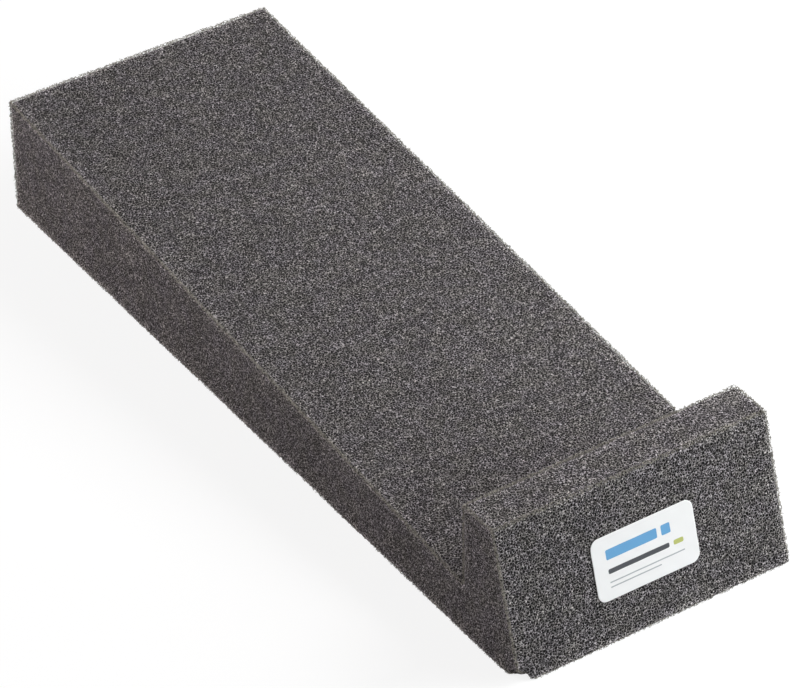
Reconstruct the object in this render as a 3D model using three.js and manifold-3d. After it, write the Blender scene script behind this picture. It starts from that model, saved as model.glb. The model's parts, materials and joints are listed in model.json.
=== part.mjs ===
// A wedge of open-cell foam that a small loudspeaker stands on, so that little of its
// vibration reaches the shelf below. It is one knife-cut block: a bed that falls towards the
// front, and a lip there that stops the speaker from sliding off. The lip leans back, and a
// self-adhesive paper label lies on its front face.
//
// Millimetres, +Z up. The lip is at -Y, and the origin is the middle of the flat underside.

import * as THREE from 'three';
import { mergeVertices } from 'three/addons/utils/BufferGeometryUtils.js';
import Module from 'manifold-3d';

// The block
const PAD_LENGTH = 300;
const PAD_WIDTH = 101.6;
const BED_HEIGHT_AT_LIP = 19;
const BED_SLOPE = THREE.MathUtils.degToRad(5.2);
const LIP_HEIGHT = 50;
const LIP_TOP_DEPTH = 15;
const LIP_FOOT_DEPTH = 30;

// How soft the knife leaves the foam: along each cut edge, where edges meet in a point, and in
// the inner corner between bed and lip, where the blade turns
const EDGE_RADIUS = 0.8;
const POINT_RADIUS = 0.3;
const INNER_CORNER_RADIUS = 0.8;
const EDGE_STEPS = 4;

// The bottom front corner on the left is nipped off, measured from where its edges met
const NIP_BACK = 7.3;
const NIP_ACROSS = 5.9;
const NIP_UP = 4;

// The label, and how far up the leaning face its lower edge lies
const LABEL_WIDTH = 38.1;
const LABEL_HEIGHT = 21.2;
const LABEL_CORNER_RADIUS = 2;
const LABEL_CORNER_STEPS = 8;
const LABEL_THICKNESS = 0.2;
const LABEL_RISE = 14.2;
const LABEL_SEAT_GAP = 0.3;

const foam = new THREE.MeshStandardMaterial({ color: 0x5a5655, roughness: 1, metalness: 0 });
const labelPaper = new THREE.MeshStandardMaterial({ color: 0xeff6f9, roughness: 0.35, metalness: 0 });

// Places that follow from the sizes
const leftX = -PAD_WIDTH / 2;
const toeY = -PAD_LENGTH / 2;
const rearY = PAD_LENGTH / 2;
const lipBackY = toeY + LIP_FOOT_DEPTH;
const lipFrontY = lipBackY - LIP_TOP_DEPTH;
const bedHeightAtRear = BED_HEIGHT_AT_LIP + (rearY - lipBackY) * Math.tan(BED_SLOPE);
const faceLean = Math.atan2(lipFrontY - toeY, LIP_HEIGHT);

const wasm = await Module();
wasm.setup();

// A manifold-3d solid of a closed three.js geometry
function toSolid(geometry) {
  geometry.deleteAttribute('normal');
  geometry.deleteAttribute('uv');
  const merged = mergeVertices(geometry);
  const vertProperties = new Float32Array(merged.attributes.position.array);
  const triVerts = new Uint32Array(merged.index.array);
  return new wasm.Manifold(new wasm.Mesh({ numProp: 3, vertProperties, triVerts }));
}

// The three.js geometry of a manifold-3d solid
function toGeometry(solid) {
  const mesh = solid.getMesh();
  const geometry = new THREE.BufferGeometry();
  geometry.setAttribute('position', new THREE.BufferAttribute(mesh.vertProperties, mesh.numProp));
  geometry.setIndex(new THREE.BufferAttribute(mesh.triVerts, 1));
  geometry.computeVertexNormals();
  return geometry;
}

// An anticlockwise outline through the corners, with an arc round each: outerRadius where it
// points outwards and innerRadius where it points inwards
function softenedOutline(corners, outerRadius, innerRadius = outerRadius) {
  const outline = new THREE.Shape();
  corners.forEach((corner, index) => {
    const before = corners.at(index - 1);
    const after = corners[(index + 1) % corners.length];
    const arriving = corner.clone().sub(before).normalize();
    const leaving = after.clone().sub(corner).normalize();
    const turn = Math.atan2(arriving.cross(leaving), arriving.dot(leaving));
    const radius = turn > 0 ? outerRadius : innerRadius;
    const towardsCentre = leaving.clone().sub(arriving).normalize();
    const centre = corner.clone().addScaledVector(towardsCentre, radius / Math.cos(turn / 2));
    const firstAngle = arriving.angle() - Math.sign(turn) * Math.PI / 2;
    outline.absarc(centre.x, centre.y, radius, firstAngle, firstAngle + turn, turn < 0);
  });
  outline.closePath();
  return outline;
}

// The side of the block, with the pad's Y as its x and the pad's Z as its y
function sideProfile() {
  const corners = [
    new THREE.Vector2(toeY, 0),
    new THREE.Vector2(rearY, 0),
    new THREE.Vector2(rearY, bedHeightAtRear),
    new THREE.Vector2(lipBackY, BED_HEIGHT_AT_LIP),
    new THREE.Vector2(lipBackY, LIP_HEIGHT),
    new THREE.Vector2(lipFrontY, LIP_HEIGHT),
  ];
  return softenedOutline(corners, EDGE_RADIUS + POINT_RADIUS, INNER_CORNER_RADIUS);
}

// The whole block, its profile carried across the width between two softened side edges
function blockSolid() {
  const straightWidth = PAD_WIDTH - 2 * EDGE_RADIUS;
  const geometry = new THREE.ExtrudeGeometry(sideProfile(), {
    depth: straightWidth,
    curveSegments: EDGE_STEPS / 2,
    bevelThickness: EDGE_RADIUS,
    bevelSize: EDGE_RADIUS,
    bevelOffset: -EDGE_RADIUS,
    bevelSegments: EDGE_STEPS,
  });
  geometry.translate(0, 0, -straightWidth / 2);
  geometry.rotateX(Math.PI / 2);
  geometry.rotateZ(Math.PI / 2);
  return toSolid(geometry);
}

// The bit that the nip takes: everything beyond the flat through three points on the edges
function nipSolid() {
  const corner = new THREE.Vector3(leftX, toeY, 0);
  const upTheFace = new THREE.Vector3(0, Math.sin(faceLean), Math.cos(faceLean));
  const back = corner.clone().add(new THREE.Vector3(0, NIP_BACK, 0));
  const across = corner.clone().add(new THREE.Vector3(NIP_ACROSS, 0, 0));
  const up = corner.clone().addScaledVector(upTheFace, NIP_UP);
  const cut = new THREE.Triangle(back, across, up);
  const outwards = cut.getNormal(new THREE.Vector3());
  if (outwards.dot(corner.clone().sub(back)) < 0) {
    outwards.negate();
  }
  const reach = 2 * (NIP_BACK + NIP_ACROSS + NIP_UP);
  const middle = cut.getMidpoint(new THREE.Vector3());
  const turn = new THREE.Quaternion().setFromUnitVectors(new THREE.Vector3(0, 0, 1), outwards);
  const geometry = new THREE.BoxGeometry(reach, reach, reach);
  geometry.translate(0, 0, reach / 2);
  geometry.applyQuaternion(turn);
  geometry.translate(middle.x, middle.y, middle.z);
  return toSolid(geometry);
}

// The foam pad itself
function makeFoamPad() {
  const mesh = new THREE.Mesh(toGeometry(blockSolid().subtract(nipSolid())), foam);
  mesh.name = 'foam_pad';
  return mesh;
}

// The label, in a frame that stands on the toe of the lip: x across, y up the face, z out of it
function makeLabel() {
  const halfWidth = LABEL_WIDTH / 2;
  const corners = [
    new THREE.Vector2(-halfWidth, 0),
    new THREE.Vector2(halfWidth, 0),
    new THREE.Vector2(halfWidth, LABEL_HEIGHT),
    new THREE.Vector2(-halfWidth, LABEL_HEIGHT),
  ];
  const geometry = new THREE.ExtrudeGeometry(softenedOutline(corners, LABEL_CORNER_RADIUS), {
    depth: LABEL_THICKNESS,
    curveSegments: LABEL_CORNER_STEPS / 2,
    bevelEnabled: false,
  });
  const mesh = new THREE.Mesh(geometry, labelPaper);
  mesh.name = 'front_label';
  mesh.position.set(0, LABEL_RISE, LABEL_SEAT_GAP);
  return mesh;
}

const frontFace = new THREE.Group();
frontFace.position.set(0, toeY, 0);
frontFace.rotation.x = Math.PI / 2 - faceLean;
frontFace.add(makeLabel());

const pad = new THREE.Group();
pad.add(makeFoamPad());
pad.add(frontFace);

export default pad;
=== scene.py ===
"""The looks of a foam isolation pad for a small loudspeaker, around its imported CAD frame.

Everything is in metres in the frame's own axes: the lip is at -Y and the underside lies at Z = 0.
The foam is a fine skin over the block, with an open network of cell walls along every edge. The
label is a thin sheet of printed paper that takes the place of its plain solid.
"""

import json
import logging
import math
from dataclasses import dataclass
from enum import Enum
from typing import Any, Mapping, Optional, Sequence, Union

import bpy
import numpy as np
from mathutils import Matrix, Vector

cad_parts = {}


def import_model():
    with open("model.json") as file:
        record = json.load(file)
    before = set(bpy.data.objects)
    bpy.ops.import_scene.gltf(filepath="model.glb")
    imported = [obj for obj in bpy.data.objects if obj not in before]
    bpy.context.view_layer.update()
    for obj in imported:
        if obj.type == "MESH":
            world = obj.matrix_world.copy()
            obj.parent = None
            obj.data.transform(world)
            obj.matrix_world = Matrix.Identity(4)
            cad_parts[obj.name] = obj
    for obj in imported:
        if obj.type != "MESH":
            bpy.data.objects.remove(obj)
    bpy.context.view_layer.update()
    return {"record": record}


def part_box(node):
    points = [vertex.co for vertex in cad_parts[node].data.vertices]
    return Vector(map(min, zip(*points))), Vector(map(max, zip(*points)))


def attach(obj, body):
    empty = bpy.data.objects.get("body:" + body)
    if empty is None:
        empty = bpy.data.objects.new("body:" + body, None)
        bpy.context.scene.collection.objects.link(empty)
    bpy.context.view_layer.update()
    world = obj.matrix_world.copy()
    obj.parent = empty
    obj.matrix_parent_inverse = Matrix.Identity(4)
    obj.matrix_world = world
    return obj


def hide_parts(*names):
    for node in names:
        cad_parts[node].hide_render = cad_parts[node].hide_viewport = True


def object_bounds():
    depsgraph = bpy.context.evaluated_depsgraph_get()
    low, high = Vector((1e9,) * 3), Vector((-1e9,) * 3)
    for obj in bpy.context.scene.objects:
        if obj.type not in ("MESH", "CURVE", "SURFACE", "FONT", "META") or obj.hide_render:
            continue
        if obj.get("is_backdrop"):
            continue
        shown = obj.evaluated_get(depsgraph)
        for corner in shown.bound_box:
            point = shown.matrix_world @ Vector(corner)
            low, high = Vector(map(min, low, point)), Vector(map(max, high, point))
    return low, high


log = logging.getLogger("pad")

MM = 0.001
SMALL = 1e-12
MERGE_SIZE = 0.001 * MM

# The Mix node's sockets for colours, by number, since other kinds of value share their names
MIX_FACTOR, MIX_LOW, MIX_HIGH, MIX_RESULT = 0, 6, 7, 2

Number = Union[int, float]
Triple = tuple[float, float, float]


class Signal:
    """An output socket that takes part in Python expressions, adding Math nodes as it goes."""

    def __init__(self, sheet: "Sheet", socket: bpy.types.NodeSocket) -> None:
        """Wraps a socket of the sheet's node tree.

        Args:
            sheet: The sheet that new nodes are added to.
            socket: The output socket whose value this is.
        """
        self.sheet = sheet
        self.socket = socket

    def math(self, operation: str, *others: "Operand") -> "Signal":
        """Adds a Math node whose first input is this signal.

        Args:
            operation: The Math node's operation.
            others: The values or signals of its other inputs.

        Returns:
            The node's result.
        """
        return self.sheet.math(operation, self, *others)

    def __add__(self, other: "Operand") -> "Signal":
        """This plus other."""
        return self.math("ADD", other)

    __radd__ = __add__

    def __sub__(self, other: "Operand") -> "Signal":
        """This minus other."""
        return self.math("SUBTRACT", other)

    def __rsub__(self, other: "Operand") -> "Signal":
        """Other minus this."""
        return self.sheet.math("SUBTRACT", other, self)

    def __mul__(self, other: "Operand") -> "Signal":
        """This times other."""
        return self.math("MULTIPLY", other)

    __rmul__ = __mul__

    def __pow__(self, other: "Operand") -> "Signal":
        """This to the power of other."""
        return self.math("POWER", other)

    def __abs__(self) -> "Signal":
        """This without its sign."""
        return self.math("ABSOLUTE")

    def at_least(self, other: "Operand") -> "Signal":
        """The larger of this and other."""
        return self.math("MAXIMUM", other)

    def at_most(self, other: "Operand") -> "Signal":
        """The smaller of this and other."""
        return self.math("MINIMUM", other)

    def rise(self, low: Number, high: Number) -> "Signal":
        """A smooth step from 0 where this is low to 1 where it is high; low may be the larger.

        Args:
            low: The value that gives 0.
            high: The value that gives 1.

        Returns:
            The step, between 0 and 1.
        """
        settings = {"interpolation_type": "SMOOTHSTEP"}
        inputs = {"Value": self, "From Min": low, "From Max": high}
        return self.sheet.signal("ShaderNodeMapRange", settings, inputs, "Result")


Operand = Union[Signal, Number]


class Sheet:
    """A node tree, with one method through which every node comes into it."""

    def __init__(self, tree: bpy.types.NodeTree) -> None:
        """Takes an emptied node tree.

        Args:
            tree: The tree to build in.
        """
        self.tree = tree
        self.tree.nodes.clear()

    def add(
        self,
        kind: str,
        settings: Optional[Mapping[str, Any]] = None,
        inputs: Optional[Mapping[Union[str, int], Any]] = None,
    ) -> bpy.types.Node:
        """Adds one node: its type, then its settings, then the values or links of its sockets.

        Args:
            kind: The node's type.
            settings: Its properties, by name.
            inputs: A value or a Signal for each input, by name or number.

        Returns:
            The new node.
        """
        node = self.tree.nodes.new(kind)
        for name, value in (settings or {}).items():
            setattr(node, name, value)
        for key, value in (inputs or {}).items():
            if isinstance(value, Signal):
                self.tree.links.new(value.socket, node.inputs[key])
            else:
                node.inputs[key].default_value = value
        return node

    def signal(
        self,
        kind: str,
        settings: Optional[Mapping[str, Any]],
        inputs: Optional[Mapping[Union[str, int], Any]],
        output: Union[str, int] = 0,
    ) -> Signal:
        """Adds one node and gives one of its outputs.

        Args:
            kind: The node's type.
            settings: Its properties, by name.
            inputs: A value or a Signal for each input, by name or number.
            output: The wanted output, by name or number.

        Returns:
            That output as a signal.
        """
        return Signal(self, self.add(kind, settings, inputs).outputs[output])

    def math(self, operation: str, *operands: Operand) -> Signal:
        """Adds a Math node.

        Args:
            operation: The node's operation.
            operands: A value or a Signal for each input in turn.

        Returns:
            Its result.
        """
        return self.signal("ShaderNodeMath", {"operation": operation}, dict(enumerate(operands)))

    def place(self) -> Signal:
        """The shaded point in the object's own coordinates."""
        return self.signal("ShaderNodeTexCoord", None, None, "Object")

    def along(self, place: Signal, direction: Sequence[float], start: float) -> Signal:
        """How far a point lies along a direction.

        Args:
            place: The point.
            direction: A unit vector.
            start: The distance along it that counts as nought.

        Returns:
            The distance, in metres.
        """
        settings = {"operation": "DOT_PRODUCT"}
        dot = self.signal("ShaderNodeVectorMath", settings, {0: place, 1: tuple(direction)}, "Value")
        return dot - start

    def noise(self, place: Signal, grain: float, layers: float = 2.0) -> Signal:
        """Soft three-dimensional noise around 0.5.

        Args:
            place: The point that it is read at.
            grain: The size of its lumps, in metres.
            layers: How many finer layers it has, each half as strong as the one before.

        Returns:
            The noise, between 0 and 1.
        """
        inputs = {"Vector": place, "Scale": 1.0 / grain, "Detail": layers}
        return self.signal("ShaderNodeTexNoise", None, inputs)

    def cells(self, place: Signal, size: float, feature: str, output: str = "Distance") -> Signal:
        """A pattern of packed round cells.

        Args:
            place: The point that it is read at.
            size: The usual size of a cell, in metres.
            feature: The Voronoi node's feature.
            output: The wanted output.

        Returns:
            That output; a distance is in cell sizes.
        """
        inputs = {"Vector": place, "Scale": 1.0 / size}
        return self.signal("ShaderNodeTexVoronoi", {"feature": feature}, inputs, output)

    def attribute(self, name: str) -> Signal:
        """A number stored on the mesh's points."""
        settings = {"attribute_type": "GEOMETRY", "attribute_name": name}
        return self.signal("ShaderNodeAttribute", settings, None, "Fac")

    def mix(self, factor: Operand, low: Any, high: Any, blend: str = "MIX") -> Signal:
        """A colour made from two others.

        Args:
            factor: 0 gives low, and 1 gives high or what it is blended to.
            low: The first colour, a tuple or a Signal.
            high: The second colour, a tuple or a Signal.
            blend: How the Mix node blends them.

        Returns:
            The mixed colour.
        """
        settings = {"data_type": "RGBA", "blend_type": blend}
        inputs = {MIX_FACTOR: factor, MIX_LOW: rgba(low), MIX_HIGH: rgba(high)}
        return self.signal("ShaderNodeMix", settings, inputs, MIX_RESULT)

    def scaled(self, colour: Any, factor: Operand) -> Signal:
        """A colour made brighter or darker as a whole.

        Args:
            colour: The colour, a tuple or a Signal.
            factor: What it is multiplied by.

        Returns:
            The new colour.
        """
        inputs = {0: colour, "Scale": factor}
        return self.signal("ShaderNodeVectorMath", {"operation": "SCALE"}, inputs)


def rgba(colour: Any) -> Any:
    """A colour tuple with its alpha added; a Signal stays as it is."""
    if isinstance(colour, Signal) or len(colour) == 4:
        return colour
    return (*colour, 1.0)


def unit(vectors: np.ndarray) -> np.ndarray:
    """Vectors at length 1, each divided by its own length."""
    return vectors / np.maximum(np.linalg.norm(vectors, axis=-1, keepdims=True), SMALL)


def mesh_object(
    name: str,
    vertices: np.ndarray,
    faces: Sequence[np.ndarray],
    numbers: Optional[Mapping[str, np.ndarray]] = None,
    smooth: bool = True,
) -> bpy.types.Object:
    """Puts arrays into a new mesh object that sits at the origin.

    Args:
        name: The object's name.
        vertices: Its points, one row each.
        faces: Arrays of faces with their corners' numbers, one array for each corner count.
        numbers: Point attributes, by name.
        smooth: Whether its faces are shaded smooth.

    Returns:
        The object, linked to the scene.
    """
    mesh = bpy.data.meshes.new(name)
    corners = np.concatenate([block.ravel() for block in faces]).astype(np.int32)
    sizes = np.concatenate([np.full(len(block), block.shape[1], np.int32) for block in faces])
    mesh.vertices.add(len(vertices))
    mesh.vertices.foreach_set("co", vertices.astype(np.float32).ravel())
    mesh.loops.add(len(corners))
    mesh.loops.foreach_set("vertex_index", corners)
    mesh.polygons.add(len(sizes))
    mesh.polygons.foreach_set("loop_start", np.concatenate([[0], np.cumsum(sizes)[:-1]]).astype(np.int32))
    mesh.polygons.foreach_set("loop_total", sizes)
    mesh.polygons.foreach_set("use_smooth", np.full(len(sizes), smooth))
    for label, values in (numbers or {}).items():
        mesh.attributes.new(label, "FLOAT", "POINT").data.foreach_set("value", values.astype(np.float32))
    mesh.update(calc_edges=True)
    mesh.validate()
    piece = bpy.data.objects.new(name, mesh)
    bpy.context.scene.collection.objects.link(piece)
    return piece


def new_material(name: str) -> tuple[bpy.types.Material, Sheet]:
    """An empty node material.

    Args:
        name: The material's name.

    Returns:
        The material and the sheet of its nodes.
    """
    material = bpy.data.materials.new(name)
    material.use_nodes = True
    return material, Sheet(material.node_tree)


def finish_surface(sheet: Sheet, inputs: Mapping[Union[str, int], Any]) -> None:
    """Ends a material in one Principled shader.

    Args:
        sheet: The material's sheet.
        inputs: A value or a Signal for each of the shader's sockets.
    """
    shader = sheet.signal("ShaderNodeBsdfPrincipled", None, inputs, "BSDF")
    sheet.add("ShaderNodeOutputMaterial", None, {"Surface": shader})


class EdgeGroup(Enum):
    """The stretches of the block's edges, and the name of the piece that frays each of them."""

    BASE_SIDES = "base_side_cut_struts"
    BASE_ENDS = "base_end_cut_struts"
    BED_SIDES = "bed_side_cut_struts"
    REAR = "rear_cut_struts"
    LIP = "lip_cut_struts"


@dataclass(frozen=True)
class Edge:
    """A straight edge of the block: its ends, and the normals of the two faces that meet there."""

    start: np.ndarray
    end: np.ndarray
    first: np.ndarray
    second: np.ndarray

    @property
    def length(self) -> float:
        """How long the edge is."""
        return float(np.linalg.norm(self.end - self.start))

    def group(self, form: "PadForm") -> EdgeGroup:
        """Which stretch it belongs to: on the floor, on the lip, at the rear end or on the bed."""
        at_one_place = self.start[1] == self.end[1]
        if max(self.start[2], self.end[2]) <= 0.0:
            return EdgeGroup.BASE_ENDS if at_one_place else EdgeGroup.BASE_SIDES
        if max(self.start[1], self.end[1]) <= form.lip_back:
            return EdgeGroup.LIP
        return EdgeGroup.REAR if at_one_place else EdgeGroup.BED_SIDES

    def distance(self, points: np.ndarray) -> np.ndarray:
        """How far points lie from the edge: from the point at each one's clipped share along it."""
        line = self.end - self.start
        share = np.clip((points - self.start) @ line / (line @ line), 0.0, 1.0)
        return np.linalg.norm(points - self.start - share[:, None] * line, axis=1)


@dataclass
class PadForm:
    """The block with its edges still sharp, as the frame gives it.

    The profile runs anticlockwise in the YZ plane, seen with +Y to the right. The tear's waves are
    three sines, one in each column, in radians to the metre along X, Y and Z.
    """

    half_width: float
    rear: float
    lip_height: float
    lip_back: float
    bed_point: Vector
    bed_normal: Vector
    lip_top_depth: float = 15.0 * MM
    nip_back: float = 7.3 * MM
    nip_across: float = 5.9 * MM
    nip_up: float = 4.0 * MM
    tear_depth: float = 1.5 * MM
    tear_step: tuple[float, float] = (0.72, 0.86)
    tear_waves: tuple[Triple, Triple, Triple] = ((2100, 700, 300), (900, 2600, 900), (500, 800, 3100))
    tear_rough: float = 0.15 * MM

    @classmethod
    def from_frame(cls, record: Mapping[str, Any]) -> "PadForm":
        """Reads the block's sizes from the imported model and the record's mounts.

        Args:
            record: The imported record.

        Returns:
            The form.
        """
        mounts = {mount["name"]: mount for mount in record["mounts"]}
        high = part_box("foam_pad")[1]
        return cls(
            half_width=high.x,
            rear=high.y,
            lip_height=high.z,
            lip_back=mounts["lip_stop"]["pos_m"][1],
            bed_point=Vector(mounts["speaker_bed"]["pos_m"]),
            bed_normal=Vector(mounts["speaker_bed"]["axis"]),
        )

    @property
    def toe(self) -> float:
        """Where the lip's front face meets the underside; the origin is midway along the pad."""
        return -self.rear

    @property
    def lip_front(self) -> float:
        """Where the lip's front face meets its top."""
        return self.lip_back - self.lip_top_depth

    @property
    def face_up(self) -> np.ndarray:
        """The direction straight up the lip's leaning front face."""
        return unit(np.array([0.0, self.lip_front - self.toe, self.lip_height]))

    @property
    def face_out(self) -> np.ndarray:
        """The direction straight out of the lip's front face."""
        return np.cross([1.0, 0.0, 0.0], self.face_up)

    @property
    def nook(self) -> np.ndarray:
        """The inner corner between bed and lip, as its Y and Z."""
        return np.array([self.lip_back, self.bed_height(self.lip_back)])

    def bed_height(self, y: float) -> float:
        """The height of the bed's plane at a place along the pad."""
        away = (y - self.bed_point.y) * self.bed_normal.y
        return self.bed_point.z - away / self.bed_normal.z

    def face_front(self, z: float) -> float:
        """Where the lip's front face lies at a height."""
        return self.toe + (self.lip_front - self.toe) * z / self.lip_height

    def profile(self) -> np.ndarray:
        """The six corners of the side, as rows of Y and Z."""
        return np.array(
            [
                (self.toe, 0.0),
                (self.rear, 0.0),
                (self.rear, self.bed_height(self.rear)),
                self.nook,
                (self.lip_back, self.lip_height),
                (self.lip_front, self.lip_height),
            ]
        )

    def outer_edges(self) -> list[Edge]:
        """Every edge that points outwards, which leaves out the inner corner of bed and lip."""
        corners = self.profile()
        leaving = unit(np.roll(corners, -1, axis=0) - corners)
        normals = np.column_stack([np.zeros(len(corners)), leaving[:, 1], -leaving[:, 0]])
        w = self.half_width
        found = []
        for i, (start, end) in enumerate(zip(corners, np.roll(corners, -1, axis=0))):
            for side in (-w, w):
                out = np.array([np.sign(side), 0.0, 0.0])
                found.append(Edge(np.array([side, *start]), np.array([side, *end]), normals[i], out))
            if np.cross(normals[i - 1], normals[i])[0] > 0.0:
                ends = np.array([-w, *start]), np.array([w, *start])
                found.append(Edge(*ends, normals[i - 1], normals[i]))
        return found

    def beyond_nip(self, points: np.ndarray) -> tuple[np.ndarray, np.ndarray]:
        """How far points stand out past the torn flat of the nipped corner.

        The flat lies through three points near the corner, one on each edge. The tear goes in
        steadily along it and comes back out in one step, and three crossed sines roughen it.

        Args:
            points: The points.

        Returns:
            Their distances past it, below nought inside, and the flat's outward normal.
        """
        corner = np.array([-self.half_width, self.toe, 0.0])
        back = corner + np.array([0.0, self.nip_back, 0.0])
        across = corner + np.array([self.nip_across, 0.0, 0.0])
        up = corner + self.face_up * self.nip_up
        normal = unit(np.cross(across - back, up - back))
        normal = normal * np.sign(normal @ (corner - back))
        line = across - back
        share = (points - back) @ line / (line @ line)
        step_in, step_out = self.tear_step
        going_in = np.clip(share / step_in, 0.0, 1.0)
        coming_out = np.clip((step_out - share) / (step_out - step_in), 0.0, 1.0)
        rough = np.sin(points @ np.array(self.tear_waves)).sum(axis=1) * self.tear_rough
        return (points - back) @ normal + going_in * coming_out * self.tear_depth + rough, normal


def inset_outline(outline: np.ndarray, depth: float) -> np.ndarray:
    """An anticlockwise outline with every side moved inwards.

    Each new corner is where the two moved lines meet: the old corner plus the two inward
    normals' sum, times depth over one plus their dot product.

    Args:
        outline: The corners, one row each.
        depth: How far each side moves.

    Returns:
        The new corners.
    """
    leaving = unit(np.roll(outline, -1, axis=0) - outline)
    inwards = np.stack([-leaving[:, 1], leaving[:, 0]], axis=1)
    before = np.roll(inwards, 1, axis=0)
    share = depth / (1.0 + np.sum(before * inwards, axis=1, keepdims=True))
    return outline + (before + inwards) * share


def nearest_on_outline(points: np.ndarray, outline: np.ndarray) -> tuple[np.ndarray, np.ndarray]:
    """The nearest place on a closed outline for each point.

    For each side, the point's share along it is clipped to 0 and 1; the nearest side wins.

    Args:
        points: Rows of two coordinates.
        outline: The outline's corners.

    Returns:
        The nearest places, and the distance to every side, one column each.
    """
    sides = np.roll(outline, -1, axis=0) - outline
    offset = points[:, None, :] - outline[None]
    share = np.clip(np.sum(offset * sides, axis=2) / np.sum(sides * sides, axis=1), 0.0, 1.0)
    places = outline[None] + share[..., None] * sides[None]
    distances = np.linalg.norm(points[:, None, :] - places, axis=2)
    best = np.argmin(distances, axis=1)
    return places[np.arange(len(points)), best], distances


def inside_outline(points: np.ndarray, outline: np.ndarray) -> np.ndarray:
    """Which points lie inside a closed outline: those with an odd count of sides to their right.

    Args:
        points: Rows of two coordinates.
        outline: The outline's corners.

    Returns:
        One truth value for each point.
    """
    start, end = outline, np.roll(outline, -1, axis=0)
    above = (start[None, :, 1] > points[:, None, 1]) != (end[None, :, 1] > points[:, None, 1])
    rise = np.where(np.abs(end[:, 1] - start[:, 1]) < SMALL, SMALL, end[:, 1] - start[:, 1])
    slope = (end[:, 0] - start[:, 0]) / rise
    crossing = start[None, :, 0] + (points[:, None, 1] - start[None, :, 1]) * slope[None]
    return np.sum(above & (points[:, None, 0] < crossing), axis=1) % 2 == 1


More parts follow.
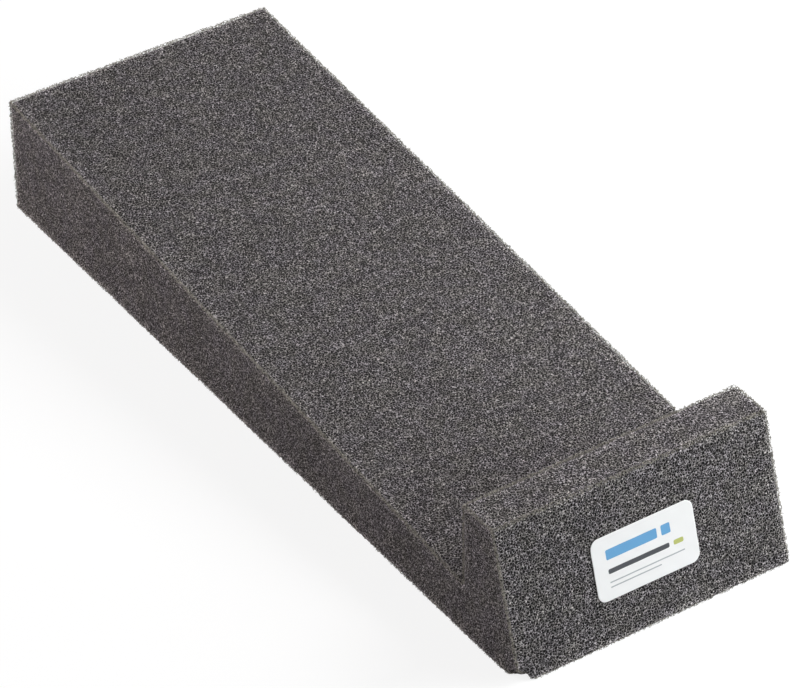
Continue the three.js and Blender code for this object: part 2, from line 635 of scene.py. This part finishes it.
@dataclass
class FoamPad:
    """The foam block's visible skin: fine grids over every face, with soft ragged edges."""

    form: PadForm
    upper_radius: float = 1.4 * MM
    base_radius: float = 0.4 * MM
    base_zone: tuple[float, float] = (5.0 * MM, 12.0 * MM)
    edge_rows: tuple[float, ...] = (0.0, 0.3 * MM, 0.6 * MM, 0.95 * MM, 1.4 * MM)
    width_rows: int = 98
    bed_rows: int = 250
    lip_rows: int = 24
    low_rows: int = 38
    high_rows: int = 30
    relief: float = 0.035 * MM
    relief_limit: float = 2.0
    floor_relief: float = 0.6
    wave: float = 0.12 * MM
    wave_length: float = 61.0 * MM
    wave_drift: float = 3.0
    wave_cross: float = 0.7
    # How far and how strongly light is painted into the colour near the edges, for light that leaks in
    # there.
    rim_reach: float = 0.8 * MM
    face_top_painted_rim: float = 0.5
    rear_painted_rim: float = 1.7
    # Painted shade darkens the colour near the inner corner of bed and lip, and painted light lightens
    # the lip's top.
    nook_reach: float = 3.0 * MM
    nook_painted_shade: float = 0.15
    top_reach: float = 1.5 * MM
    top_painted_light: float = 0.1
    plain_cut: float = 0.93
    front_power: int = 4
    seed: int = 11

    def shares(self, length: float, count: int) -> np.ndarray:
        """Shares from 0 to 1 along an edge: a few close rows at each end and even rows between.

        Args:
            length: The edge's length.
            count: How many even rows lie between the close ones.

        Returns:
            The shares in rising order.
        """
        close = np.array(self.edge_rows) / length
        even = np.linspace(close[-1], 1.0 - close[-1], count + 1)[1:-1]
        return np.concatenate([close, even, 1.0 - close[::-1]])

    def patches(self) -> list[tuple[np.ndarray, np.ndarray, np.ndarray]]:
        """Every face of the block as four corners and the shares along its two directions.

        The corners go round anticlockwise, seen from outside. Neighbours share the rows of the
        edge between them, so that their grids meet point for point.

        Returns:
            The patches.
        """
        f = self.form
        toe, rear, rear_top, inner, lip_top, lip_tip = f.profile()
        foot = np.array([f.lip_back, 0.0])
        mid = np.array([f.face_front(inner[1]), inner[1]])
        across = self.shares(2.0 * f.half_width, self.width_rows)
        along = self.shares(f.rear - f.lip_back, self.bed_rows)
        lip = self.shares(f.lip_back - f.toe, self.lip_rows)
        low = self.shares(rear_top[1], self.low_rows)
        high = self.shares(f.lip_height - inner[1], self.high_rows)
        strips = [
            (rear, rear_top, low),
            (rear_top, inner, along),
            (inner, lip_top, high),
            (lip_top, lip_tip, lip),
            (lip_tip, mid, high),
            (mid, toe, low),
            (toe, foot, lip),
            (foot, rear, along),
        ]
        sides = [
            (toe, foot, inner, mid, lip, low),
            (mid, inner, lip_top, lip_tip, lip, high),
            (foot, rear, rear_top, inner, along, low),
        ]
        found = []
        for start, end, rows in strips:
            found.append((self.wall(start, end), across, rows))
        for a, b, c, d, first, second in sides:
            right = np.array([(f.half_width, *p) for p in (a, b, c, d)])
            left = np.array([(-f.half_width, *p) for p in (d, c, b, a)])
            found.append((right, first, second))
            found.append((left, first, second))
        return found

    def wall(self, start: np.ndarray, end: np.ndarray) -> np.ndarray:
        """The four corners of the face that a stretch of the profile makes across the width."""
        w = self.form.half_width
        return np.array([(w, *start), (-w, *start), (-w, *end), (w, *end)])

    def grid(self) -> tuple[np.ndarray, np.ndarray]:
        """All patches as one mesh of the sharp block.

        A patch's point is its corners' blend: (1-u)(1-v)a + u(1-v)b + uvc + (1-u)vd. Points that
        patches share are then made one.

        Returns:
            The points and the four-cornered faces.
        """
        points, faces, count = [], [], 0
        for (a, b, c, d), first, second in self.patches():
            u, v = (m[..., None] for m in np.meshgrid(first, second, indexing="ij"))
            spread = (1 - u) * (1 - v) * a + u * (1 - v) * b + u * v * c + (1 - u) * v * d
            number = np.arange(len(first) * len(second)).reshape(len(first), len(second)) + count
            quads = [number[:-1, :-1], number[1:, :-1], number[1:, 1:], number[:-1, 1:]]
            points.append(spread.reshape(-1, 3))
            faces.append(np.stack([q.ravel() for q in quads], axis=1))
            count += number.size
        stacked = np.concatenate(points)
        keys = np.round(stacked / MERGE_SIZE).astype(np.int64)
        _, first_of, merged = np.unique(keys, axis=0, return_index=True, return_inverse=True)
        return stacked[first_of], merged.ravel()[np.concatenate(faces)]

    def soften(self, points: np.ndarray, radius: float) -> np.ndarray:
        """Rounds the sharp block's edges.

        Each point's nearest place in the block shrunk by the radius is found, and the point is
        put at one radius from there, in its own direction.

        Args:
            points: Points on the sharp block.
            radius: How round the edges become.

        Returns:
            The new points.
        """
        core = inset_outline(self.form.profile(), radius)
        nearest, _ = nearest_on_outline(points[:, 1:], core)
        inside = inside_outline(points[:, 1:], core)
        nearest[inside] = points[inside, 1:]
        reach = self.form.half_width - radius
        root = np.column_stack([np.clip(points[:, 0], -reach, reach), nearest])
        return root + unit(points - root) * radius

    def outwards(self, points: np.ndarray) -> np.ndarray:
        """The direction out of the block at each point, blended over the edges.

        It is the sum of the faces' normals, each weighted by e to the power of minus the
        distance to its face over the upper radius.

        Args:
            points: Points on the sharp block.

        Returns:
            Unit vectors.
        """
        corners = self.form.profile()
        leaving = unit(np.roll(corners, -1, axis=0) - corners)
        _, distances = nearest_on_outline(points[:, 1:], corners)
        weights = np.exp(-distances / self.upper_radius)
        ends = np.exp(-(self.form.half_width - np.abs(points[:, 0])) / self.upper_radius)
        across = np.sign(points[:, 0]) * ends
        return unit(np.column_stack([across, weights @ leaving[:, 1], weights @ -leaving[:, 0]]))

    def painted_rim_weight(self, edge: Edge) -> float:
        """How much light an edge lets in, painted into the foam's colour: less above the lip's front face
        and more at the rear.
        """
        if edge.group(self.form) is EdgeGroup.REAR:
            return self.rear_painted_rim
        across = abs(edge.end[0] - edge.start[0]) > self.form.half_width
        at_face_top = across and edge.start[1] < self.form.lip_back and edge.start[2] > 0.0
        return self.face_top_painted_rim if at_face_top else 1.0

    def painted_rim_light(self, points: np.ndarray) -> np.ndarray:
        """How much light leaks in near the edges, painted into the foam's colour.

        It is the edge's weight times e to the power of minus the distance over the reach.

        Args:
            points: Points on the sharp block.

        Returns:
            The painted light of the edge that gives each point most.
        """
        light = np.zeros(len(points))
        for edge in self.form.outer_edges():
            near = np.exp(-edge.distance(points) / self.rim_reach)
            light = np.maximum(light, self.painted_rim_weight(edge) * near)
        return light

    def nipped(self, points: np.ndarray, outwards: np.ndarray) -> tuple[np.ndarray, np.ndarray]:
        """Slides the points beyond the nipped corner's flat straight back onto it.

        Args:
            points: The softened points.
            outwards: Their outward directions.

        Returns:
            The new points and directions.
        """
        past, normal = self.form.beyond_nip(points)
        beyond = np.maximum(past, 0.0)[:, None]
        return points - beyond * normal, np.where(beyond > 0.0, normal, outwards)

    def build(self) -> bpy.types.Object:
        """Makes the skin: softened, nipped, with shallow saw waves and cell-sized relief.

        The waves are a sine along the pad whose phase is drawn to and fro by a sine across it.
        The relief is a random height at each point, and it is less on the underside.

        Returns:
            The skin, with its light near edges, its tone and how freshly cut it looks.
        """
        sharp, faces = self.grid()
        low, high = self.base_zone
        share = np.clip((sharp[:, 2:] - low) / (high - low), 0.0, 1.0)
        base, upper = self.soften(sharp, self.base_radius), self.soften(sharp, self.upper_radius)
        points, outwards = self.nipped(base + (upper - base) * share, self.outwards(sharp))
        draw = np.random.default_rng(self.seed)
        limit = self.relief_limit * self.relief
        bumps = draw.normal(0.0, self.relief, len(points)).clip(-limit, limit)
        turn = 2 * math.pi / self.wave_length
        drift = self.wave_drift * np.sin(points[:, 0] * turn * self.wave_cross)
        waves = self.wave * np.sin(points[:, 1] * turn + drift)
        moved = points + outwards * (bumps + waves)[:, None]
        underside = np.abs(moved[:, 2]) * self.floor_relief
        moved[:, 2] = np.where(sharp[:, 2] <= 0.0, underside, moved[:, 2]).clip(0.0)
        # Painted shade in the nook and painted light along the lip's top, kept as a tone on the colour.
        nook_distance = np.linalg.norm(sharp[:, 1:] - self.form.nook, axis=1)
        nook = np.exp(-nook_distance / self.nook_reach)
        top = np.exp(-((self.form.lip_height - sharp[:, 2]) / self.top_reach) ** 2)
        front = np.clip(outwards @ self.form.face_out, 0.0, 1.0) ** self.front_power
        numbers = {
            # painted light near the edges
            "rim": self.painted_rim_light(sharp),
            # painted light on the lip's top and painted shade in the nook
            "tone_with_painted_light_and_shade": 1.0 + self.top_painted_light * top - self.nook_painted_shade * nook,
            "cut": self.plain_cut + (1.0 - self.plain_cut) * front,
        }
        return mesh_object("foam_pad_skin", moved, [faces], numbers)


@dataclass
class CutStruts:
    """The open network of cell walls along the edges, which the knife left ragged."""

    form: PadForm
    group: EdgeGroup
    nodes_per_mm: float = 17.0
    overhang: float = 0.37 * MM
    shell: float = 0.55 * MM
    crowding: float = 1.5
    swap_share: float = 0.5
    reach: float = 0.8 * MM
    window: int = 16
    links: int = 2
    least_link: float = 0.26 * MM
    end_share: float = 0.2
    end_length: tuple[float, float] = (0.15 * MM, 0.45 * MM)
    end_sway: float = 0.8
    thickness: float = 0.15 * MM
    taper: float = 0.8
    nip_overhang: float = 0.3 * MM
    seed: int = 23

    def nodes(self, edge: Edge, draw: np.random.Generator) -> tuple[np.ndarray, np.ndarray]:
        """Places where cell walls meet, at random in a thin shell round the edge.

        A node lies at a small depth under one face, and at any depth up to the reach under the
        other. The point at depths a and b under faces with normals m and n, where d is m times
        n, is the edge minus (a - bd) m / (1 - dd) minus (b - ad) n / (1 - dd).

        Args:
            edge: The edge.
            draw: The source of random numbers.

        Returns:
            The nodes in order along the edge, and their outward directions.
        """
        count = int(edge.length / MM * self.nodes_per_mm)
        share = np.sort(draw.uniform(0.0, 1.0, count))[:, None]
        inwards = 1.0 - draw.uniform(0.0, 1.0, (count, 1)) ** self.crowding
        near = inwards * (self.shell + self.overhang) - self.overhang
        far = draw.uniform(-self.overhang, self.reach, (count, 1))
        swap = draw.uniform(0.0, 1.0, (count, 1)) < self.swap_share
        a, b = np.where(swap, far, near), np.where(swap, near, far)
        d = float(edge.first @ edge.second)
        under = ((a - b * d) * edge.first + (b - a * d) * edge.second) / (1.0 - d * d)
        out = unit(edge.first * (a < b) + edge.second * (b <= a) + SMALL)
        return edge.start + (edge.end - edge.start) * share - under, out

    def walls(self, nodes: np.ndarray) -> tuple[np.ndarray, np.ndarray]:
        """Joins each node to its nearest few among the next ones along the edge.

        Args:
            nodes: The nodes in order along the edge.

        Returns:
            The two ends of every wall.
        """
        count = len(nodes) - self.window
        after = np.arange(count)[:, None] + np.arange(1, self.window + 1)
        apart = np.linalg.norm(nodes[after] - nodes[:count, None], axis=2)
        apart = np.where(apart < self.least_link, np.inf, apart)
        chosen = np.take_along_axis(after, np.argsort(apart, axis=1)[:, : self.links], axis=1)
        start = np.repeat(np.arange(count), self.links)
        return nodes[start], nodes[chosen.ravel()]

    def cut_ends(
        self, nodes: np.ndarray, out: np.ndarray, draw: np.random.Generator
    ) -> tuple[np.ndarray, np.ndarray]:
        """Walls that end in the air: from some of the nodes, outwards with a little sway.

        Args:
            nodes: The nodes.
            out: Their outward directions.
            draw: The source of random numbers.

        Returns:
            The two ends of every wall.
        """
        chosen = draw.uniform(0.0, 1.0, len(nodes)) < self.end_share
        start = nodes[chosen]
        sway = unit(draw.normal(0.0, 1.0, start.shape))
        length = draw.uniform(*self.end_length, (len(start), 1))
        return start, start + unit(out[chosen] + self.end_sway * sway) * length

    def prisms(
        self, start: np.ndarray, end: np.ndarray, draw: np.random.Generator
    ) -> tuple[np.ndarray, list[np.ndarray]]:
        """Three-sided bars between pairs of points, a little thinner at their far ends.

        A ring's point is the bar's end plus half the thickness times cos(a) across plus sin(a)
        third, where across and third stand square to the bar and a goes round in three steps.

        Args:
            start: The near ends.
            end: The far ends.
            draw: The source of random numbers.

        Returns:
            Their points and faces.
        """
        way = unit(end - start)
        across = unit(np.cross(way, unit(draw.normal(0.0, 1.0, way.shape))))
        third = np.cross(way, across)
        sides = np.array([(0, 1, 4, 3), (1, 2, 5, 4), (2, 0, 3, 5)])
        caps = np.array([(2, 1, 0), (3, 4, 5)])
        turn = np.arange(len(sides))[None, :, None] * 2.0 * math.pi / len(sides)
        ring = (np.cos(turn) * across[:, None] + np.sin(turn) * third[:, None]) * self.thickness / 2.0
        points = np.concatenate([start[:, None] + ring, end[:, None] + ring * self.taper], axis=1)
        number = np.arange(len(start))[:, None, None] * points.shape[1]
        return points.reshape(-1, 3), [(number + sides).reshape(-1, 4), (number + caps).reshape(-1, 3)]

    def build(self) -> bpy.types.Object:
        """Joins the walls of the group's edges, above the floor and off the nipped corner."""
        draw = np.random.default_rng(self.seed)
        starts, ends = [], []
        for edge in self.form.outer_edges():
            if edge.group(self.form) is not self.group:
                continue
            nodes, out = self.nodes(edge, draw)
            for start, end in (self.walls(nodes), self.cut_ends(nodes, out, draw)):
                starts.append(start)
                ends.append(end)
        points, faces = self.prisms(np.concatenate(starts), np.concatenate(ends), draw)
        past, normal = self.form.beyond_nip(points)
        points = points - np.maximum(past - self.nip_overhang, 0.0)[:, None] * normal
        points[:, 2] = np.maximum(points[:, 2], 0.0)
        return mesh_object(self.group.value, points, faces, smooth=False)


@dataclass
class FrontLabel:
    """The paper label: a thin sheet with round corners, pressed on in its middle."""

    form: PadForm
    middle: np.ndarray
    half_width: float = 19.05 * MM
    half_height: float = 10.6 * MM
    corner: float = 3.0 * MM
    thickness: float = 0.2 * MM
    pressed: float = 0.1 * MM
    lifted: float = 0.12 * MM
    lift_power: int = 4
    lift_limit: float = 1.4
    ripple: float = 0.03 * MM
    ripple_length: float = 9.0 * MM
    ripple_shift: float = 1.0
    ripple_cross: float = 1.3
    edge_turn: float = 0.05 * MM
    rings: int = 26
    border_shares: Triple = (0.985, 0.995, 1.0)
    corner_steps: int = 8
    side_steps: tuple[int, int] = (40, 20)

    def outline(self) -> np.ndarray:
        """The rounded rectangle as points in order, anticlockwise seen from in front.

        Each corner is a quarter circle, its centre one corner radius inside both sides, and even
        steps run along the sides between them.

        Returns:
            Rows of two coordinates, across and up.
        """
        inner = np.array([self.half_width - self.corner, self.half_height - self.corner])
        centres = np.array([(1, 1), (-1, 1), (-1, -1), (1, -1)]) * inner
        arcs = []
        for quarter, centre in enumerate(centres):
            angle = (quarter + np.linspace(0.0, 1.0, self.corner_steps + 1)) * math.pi / 2.0
            arcs.append(centre + np.column_stack([np.cos(angle), np.sin(angle)]) * self.corner)
        found = []
        for quarter, arc in enumerate(arcs):
            share = np.linspace(0.0, 1.0, self.side_steps[quarter % 2] + 1)[1:-1, None]
            following = arcs[(quarter + 1) % len(arcs)][0]
            found += [arc, arc[-1] * (1.0 - share) + following * share]
        return np.concatenate(found)

    def height(self, flat: np.ndarray) -> np.ndarray:
        """How far the sheet stands from its place in the frame.

        It is minus the press, plus the lift times a power of the distance from the middle in half
        sizes, up to a limit, plus a ripple of two crossed sines.

        Args:
            flat: Places on the label, across and up.

        Returns:
            The heights.
        """
        away = np.abs(flat) / np.array([self.half_width, self.half_height])
        out = np.clip(np.sum(away**self.lift_power, axis=-1), 0.0, self.lift_limit)
        turn = 2.0 * math.pi / self.ripple_length
        across = np.sin(flat[..., 0] * turn + self.ripple_shift)
        ripple = across * np.sin(flat[..., 1] * turn * self.ripple_cross)
        return self.ripple * ripple - self.pressed + self.lifted * out / self.lift_limit

    def faces(self, count: int, rings: int) -> list[np.ndarray]:
        """The faces between a middle point and the rings round it, on both sides of the sheet.

        Each side is a fan about its middle and bands between its rings. The under side has the
        same faces turned over, with their numbers moved on, and the rim joins the outer rings.

        Args:
            count: How many points a ring has.
            rings: How many rings there are.

        Returns:
            The four-cornered and the three-cornered faces.
        """
        size = 1 + rings * count
        here = np.arange(count)
        after = np.roll(here, -1)
        fan = np.column_stack([np.zeros(count, int), 1 + here, 1 + after])
        starts = 1 + np.arange(rings - 1)[:, None] * count
        band = [starts + here, starts + count + here, starts + count + after, starts + after]
        quads = np.stack([part.ravel() for part in band], axis=1)
        last = size - count
        rim = np.column_stack([last + here, size + last + here, size + last + after, last + after])
        return [
            np.concatenate([quads, quads[:, ::-1] + size, rim]),
            np.concatenate([fan, fan[:, ::-1] + size]),
        ]

    def build(self) -> bpy.types.Object:
        """Makes the sheet: its outline drawn in to its middle, half the thickness either way.

        Returns:
            The label.
        """
        outline = self.outline()
        share = np.append(np.linspace(0.0, 1.0, self.rings)[1:-1], self.border_shares)[:, None, None]
        flat = np.concatenate([np.zeros((1, 2)), (outline * share).reshape(-1, 2)])
        half = np.full(len(flat), self.thickness / 2.0)
        half[-len(outline):] -= self.edge_turn
        across = flat[:, :1] * np.array([1.0, 0.0, 0.0])
        spread = self.middle + across + flat[:, 1:] * self.form.face_up
        lift = self.height(flat)
        sides = [spread + level[:, None] * self.form.face_out for level in (lift + half, lift - half)]
        faces = self.faces(len(outline), len(share))
        return mesh_object("front_label_sheet", np.concatenate(sides), faces)


@dataclass(frozen=True)
class FoamFinish:
    """Charcoal open-cell foam: thin struts with painted glints over open cells darkened with painted
    shade, paler at cut edges with painted light.
    """

    name: str = "open_cell_foam"
    # The pit colour is painted shade that fills the open pores between the struts.
    painted_pore_shade: Triple = (0.0045, 0.0042, 0.0042)
    strut: Triple = (0.775, 0.745, 0.75)
    plum: Triple = (1.02, 0.975, 1.02)
    olive: Triple = (1.02, 0.985, 0.96)
    cell: float = 0.88 * MM
    strut_half: float = 0.095
    strut_blur: float = 0.5
    strut_gain: float = 0.64
    plain_share: float = 0.04
    even_level: float = 0.12
    # Facets give the struts painted glints and a few painted sparks, for strut faces that catch the
    # light.
    facet: float = 0.36 * MM
    glint_power: float = 1.7
    spark_range: tuple[float, float] = (0.96, 0.99)
    spark_gain: float = 0.6
    deep_offset: Triple = (0.31 * MM, 0.47 * MM, 0.38 * MM)
    deep_power: float = 2.0
    deep_gain: float = 0.03
    mottle_grain: float = 6.0 * MM
    mottle_range: tuple[float, float] = (0.35, 0.65)
    cloud_grain: float = 40.0 * MM
    cloud_gain: float = 0.16
    painted_rim_gain: float = 2.3
    relief: float = 0.25 * MM
    relief_share: float = 0.4
    rough: float = 0.9
    gloss: float = 0.1

    def make(self) -> bpy.types.Material:
        """Builds the material.

        Returns:
            The finished material.
        """
        material, sheet = new_material(self.name)
        place = sheet.place()
        shift = {"operation": "ADD"}
        deep_place = sheet.signal("ShaderNodeVectorMath", shift, {0: place, 1: self.deep_offset})
        edge = sheet.cells(place, self.cell, "DISTANCE_TO_EDGE")
        outer, inner = (self.strut_half * (1.0 + side * self.strut_blur) for side in (1, -1))
        mask = edge.rise(outer, inner)
        facet = sheet.cells(deep_place, self.facet, "F1", "Color")
        parts = sheet.add("ShaderNodeSeparateColor", None, {0: facet})
        glint, deep, chance = (Signal(sheet, output) for output in parts.outputs)
        # Painted glints: each facet's random brightness lights the struts as if they caught the light.
        bright = mask * (glint ** self.glint_power + self.plain_share) * self.strut_gain
        # Painted sparks: a few facets at full brightness, for points of light off the struts.
        spark = chance.rise(*self.spark_range)
        # The deep layer is a faint random level, for struts further into the pores that stay dim in
        # painted shade.
        painted_lit = bright + deep ** self.deep_power * self.deep_gain + spark * self.spark_gain
        cut = sheet.attribute("cut")
        lively = painted_lit * cut + self.even_level * (1.0 - cut)
        # Painted light near the edges: the rim number lightens the pattern where light leaks in at the
        # cut.
        lively = (lively * (1.0 + sheet.attribute("rim") * self.painted_rim_gain)).at_most(1.0)
        mottle = sheet.noise(place, self.mottle_grain)
        tint = sheet.mix(mottle.rise(*self.mottle_range), self.plum, self.olive)
        # The strut colour over the pit colour: painted glints on the struts, painted shade in the pores.
        plain = sheet.mix(lively, self.painted_pore_shade, self.strut)
        cloud = sheet.noise(place, self.cloud_grain) * self.cloud_gain + (1.0 - self.cloud_gain / 2)
        # The tone number carries painted light on the lip's top and painted shade in the nook; the cloud
        # is random.
        tone_with_painted_light_and_shade = cloud * sheet.attribute("tone_with_painted_light_and_shade")
        colour = sheet.scaled(sheet.mix(1.0, plain, tint, "MULTIPLY"), tone_with_painted_light_and_shade)
        inputs = {"Height": mask, "Strength": self.relief_share, "Distance": self.relief}
        bump = sheet.signal("ShaderNodeBump", None, inputs, "Normal")
        inputs = {"Base Color": colour, "Roughness": self.rough, "Specular IOR Level": self.gloss}
        finish_surface(sheet, {**inputs, "Normal": bump})
        return material


@dataclass(frozen=True)
class StrutFinish:
    """The cell walls along the edges, paler than the rest because light comes through them, with that
    light painted into their colour as shaded and lit tones.
    """

    name: str = "cut_strut"
    # Painted light: the dull colour is painted shade and the lit colour painted light coming through the
    # struts.
    painted_shaded: Triple = (0.16, 0.15, 0.134)
    painted_lit: Triple = (0.58, 0.545, 0.485)
    grain: float = 0.6 * MM
    layers: float = 1.0
    fleck_range: tuple[float, float] = (0.35, 0.7)
    rough: float = 0.8
    gloss: float = 0.1

    def make(self) -> bpy.types.Material:
        """Builds the material.

        Returns:
            The finished material.
        """
        material, sheet = new_material(self.name)
        fleck = sheet.noise(sheet.place(), self.grain, self.layers)
        # Flecks pick between the painted shaded and lit tones.
        colour = sheet.mix(fleck.rise(*self.fleck_range), self.painted_shaded, self.painted_lit)
        inputs = {"Base Color": colour, "Roughness": self.rough, "Specular IOR Level": self.gloss}
        finish_surface(sheet, inputs)
        return material


class Ink(Enum):
    """The inks of the label's print."""

    SKY = (0.13, 0.38, 0.68)
    CHARCOAL = (0.05, 0.055, 0.065)
    LIME = (0.52, 0.55, 0.16)
    GREY = (0.42, 0.44, 0.46)


@dataclass(frozen=True)
class Bar:
    """A printed bar: its middle and half sizes on the label, in millimetres, and its ink."""

    x: float
    y: float
    half_width: float
    half_height: float
    ink: Ink


@dataclass(frozen=True)
class LabelFinish:
    """Coated white label paper with a plain generic print of bars."""

    name: str = "label_paper"
    paper: Triple = (0.955, 0.94, 0.945)
    bars: tuple[Bar, ...] = (
        Bar(-4.5, 4.2, 9.5, 1.7, Ink.SKY),
        Bar(8.3, 4.2, 1.7, 1.7, Ink.SKY),
        Bar(-2.6, -1.4, 11.4, 0.8, Ink.CHARCOAL),
        Bar(12.2, -1.4, 1.8, 0.8, Ink.LIME),
        Bar(0.0, -5.0, 14.0, 0.2, Ink.GREY),
        Bar(-4.5, -6.6, 9.5, 0.2, Ink.GREY),
    )
    bar_corner: float = 0.5 * MM
    ink_edge: float = 0.03 * MM
    rough: float = 0.38
    gloss: float = 0.5

    def make(self, middle: np.ndarray, up: np.ndarray) -> bpy.types.Material:
        """Builds the material.

        Args:
            middle: The label's middle.
            up: The direction up the face that it lies on.

        Returns:
            The finished material.
        """
        material, sheet = new_material(self.name)
        place = sheet.place()
        u = sheet.along(place, (1.0, 0.0, 0.0), float(middle[0]))
        v = sheet.along(place, up, float(middle @ up))
        colour: Any = self.paper
        for bar in self.bars:
            colour = sheet.mix(self.printed(u, v, bar), colour, bar.ink.value)
        inputs = {"Base Color": colour, "Roughness": self.rough, "Specular IOR Level": self.gloss}
        finish_surface(sheet, inputs)
        return material

    def printed(self, u: Signal, v: Signal, bar: Bar) -> Signal:
        """A mask that is 1 inside a bar with round corners and 0 outside.

        Outside is the length of what is left over past the corners' centres, less their radius.

        Args:
            u: Place across the label.
            v: Place up the label.
            bar: The bar.

        Returns:
            The mask.
        """
        round_off = min(self.bar_corner, bar.half_height * MM)
        over_u = (abs(u - bar.x * MM) - (bar.half_width * MM - round_off)).at_least(0.0)
        over_v = (abs(v - bar.y * MM) - (bar.half_height * MM - round_off)).at_least(0.0)
        outside = (over_u * over_u + over_v * over_v) ** 0.5 - round_off
        return outside.rise(self.ink_edge, -self.ink_edge)


@dataclass(frozen=True)
class Lamp:
    """A square soft lamp: where it hangs, the length of its side, its watts and its colour."""

    name: str
    place: Triple
    size: float
    power: float
    colour: Triple


@dataclass
class Studio:
    """A white floor, soft light from all round and the camera at the photograph's angle."""

    camera_place: Triple = (-0.64321, -0.98519, 0.91039)
    azimuth: float = math.radians(33.413)
    elevation: float = math.radians(37.345)
    roll: float = math.radians(-0.7952)
    lens: float = 205.2
    sensor: float = 36.0
    sees: tuple[float, float] = (0.05, 20.0)
    floor_half: float = 3.0
    floor_matt: Triple = (0.6, 0.6, 0.6)
    floor_shown: Triple = (0.2, 0.2, 0.2)
    floor_glow: float = 0.85
    white: Triple = (1.0, 1.0, 1.0)
    soft_light: float = 0.15
    white_light: float = 1.0
    lamp_aim: Triple = (0.0, -0.03, 0.02)
    lamps: tuple[Lamp, ...] = (
        Lamp("near_lamp", (0.5, -0.2, 0.45), 0.4, 4.6, (1.0, 1.0, 1.0)),
        Lamp("front_lamp", (0.7, -0.7, 0.3), 0.5, 5.2, (0.92, 1.0, 1.0)),
        Lamp("rear_lamp", (-0.7, 0.75, 0.3), 0.5, 6.4, (1.0, 0.93, 0.92)),
    )

    def camera(self) -> None:
        """Sets the camera: turned by its azimuth, tipped down by its elevation, then rolled."""
        data = bpy.data.cameras.new("photo_camera")
        data.lens = self.lens
        data.sensor_width = self.sensor
        data.clip_start, data.clip_end = self.sees
        camera = bpy.data.objects.new("photo_camera", data)
        turn = Matrix.Rotation(-self.azimuth, 4, "Z")
        tip = Matrix.Rotation(math.pi / 2 - self.elevation, 4, "X")
        roll = Matrix.Rotation(self.roll, 4, "Z")
        camera.matrix_world = Matrix.Translation(self.camera_place) @ turn @ tip @ roll
        bpy.context.scene.collection.objects.link(camera)
        bpy.context.scene.camera = camera

    def seen_directly(self, sheet: Sheet) -> Signal:
        """1 for rays from the camera, off a gloss or through a clear thing, and 0 for the rest."""
        path = sheet.add("ShaderNodeLightPath")
        names = ("Is Camera Ray", "Is Glossy Ray", "Is Transmission Ray")
        camera, glossy, through = (Signal(sheet, path.outputs[name]) for name in names)
        return camera.at_least(glossy).at_least(through)

    def floor(self) -> bpy.types.Object:
        """Makes the floor: white to the camera, with the pad's soft shadow kept."""
        corners = np.array([(-1, -1, 0), (1, -1, 0), (1, 1, 0), (-1, 1, 0)]) * self.floor_half
        floor = mesh_object("studio_floor", corners, [np.array([[0, 1, 2, 3]])], smooth=False)
        material, sheet = new_material("studio_floor")
        seen = self.seen_directly(sheet)
        matt = sheet.signal("ShaderNodeBsdfDiffuse", None, {"Color": rgba(self.floor_matt)})
        shown = sheet.signal("ShaderNodeBsdfDiffuse", None, {"Color": rgba(self.floor_shown)})
        inputs = {"Color": rgba(self.white), "Strength": self.floor_glow}
        glow = sheet.signal("ShaderNodeEmission", None, inputs)
        bright = sheet.signal("ShaderNodeAddShader", None, {0: shown, 1: glow})
        surface = sheet.signal("ShaderNodeMixShader", None, {0: seen, 1: matt, 2: bright})
        sheet.add("ShaderNodeOutputMaterial", None, {"Surface": surface})
        floor.data.materials.append(material)
        return floor

    def world(self) -> None:
        """Lights the scene evenly from all round, and shows as white behind the floor."""
        world = bpy.data.worlds.new("studio_world")
        world.use_nodes = True
        sheet = Sheet(world.node_tree)
        seen = self.seen_directly(sheet)
        soft, bright = (
            sheet.signal("ShaderNodeBackground", None, {"Color": rgba(self.white), "Strength": strength})
            for strength in (self.soft_light, self.white_light)
        )
        surface = sheet.signal("ShaderNodeMixShader", None, {0: seen, 1: soft, 2: bright})
        sheet.add("ShaderNodeOutputWorld", None, {"Surface": surface})
        bpy.context.scene.world = world

    def hang(self, lamp: Lamp) -> None:
        """Adds a lamp that faces the pad.

        Args:
            lamp: The lamp.
        """
        data = bpy.data.lights.new(lamp.name, "AREA")
        data.shape = "SQUARE"
        data.size = lamp.size
        data.energy = lamp.power
        data.color = lamp.colour
        light = bpy.data.objects.new(lamp.name, data)
        facing = (Vector(self.lamp_aim) - Vector(lamp.place)).to_track_quat("-Z", "Y")
        light.matrix_world = Matrix.Translation(lamp.place) @ facing.to_matrix().to_4x4()
        bpy.context.scene.collection.objects.link(light)

    def build(self) -> None:
        """Sets camera, floor, world and lamps."""
        self.camera()
        self.floor()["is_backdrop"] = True
        self.world()
        for lamp in self.lamps:
            self.hang(lamp)
        bpy.context.scene.view_settings.view_transform = "Standard"


def main() -> None:
    """Builds the studio and the pad around the frame."""
    logging.basicConfig(level=logging.INFO, format="%(name)s: %(message)s")
    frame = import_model()
    form = PadForm.from_frame(frame["record"])
    Studio().build()

    foam = FoamFinish().make()
    skin = FoamPad(form).build()
    skin.data.materials.append(foam)
    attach(skin, "root")
    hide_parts("foam_pad")
    log.info("foam skin: %d faces", len(skin.data.polygons))

    strut_material = StrutFinish().make()
    for group in EdgeGroup:
        struts = CutStruts(form, group).build()
        struts.data.materials.append(strut_material)
        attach(struts, "root")
        log.info("%s: %d faces", group.value, len(struts.data.polygons))

    low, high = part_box("front_label")
    middle = (np.array(low) + np.array(high)) / 2
    label = FrontLabel(form, middle).build()
    label.data.materials.append(LabelFinish().make(middle, form.face_up))
    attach(label, "root")
    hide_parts("front_label")
    log.info("front label: %d faces", len(label.data.polygons))

    low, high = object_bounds()


if __name__ == "__main__":
    main()
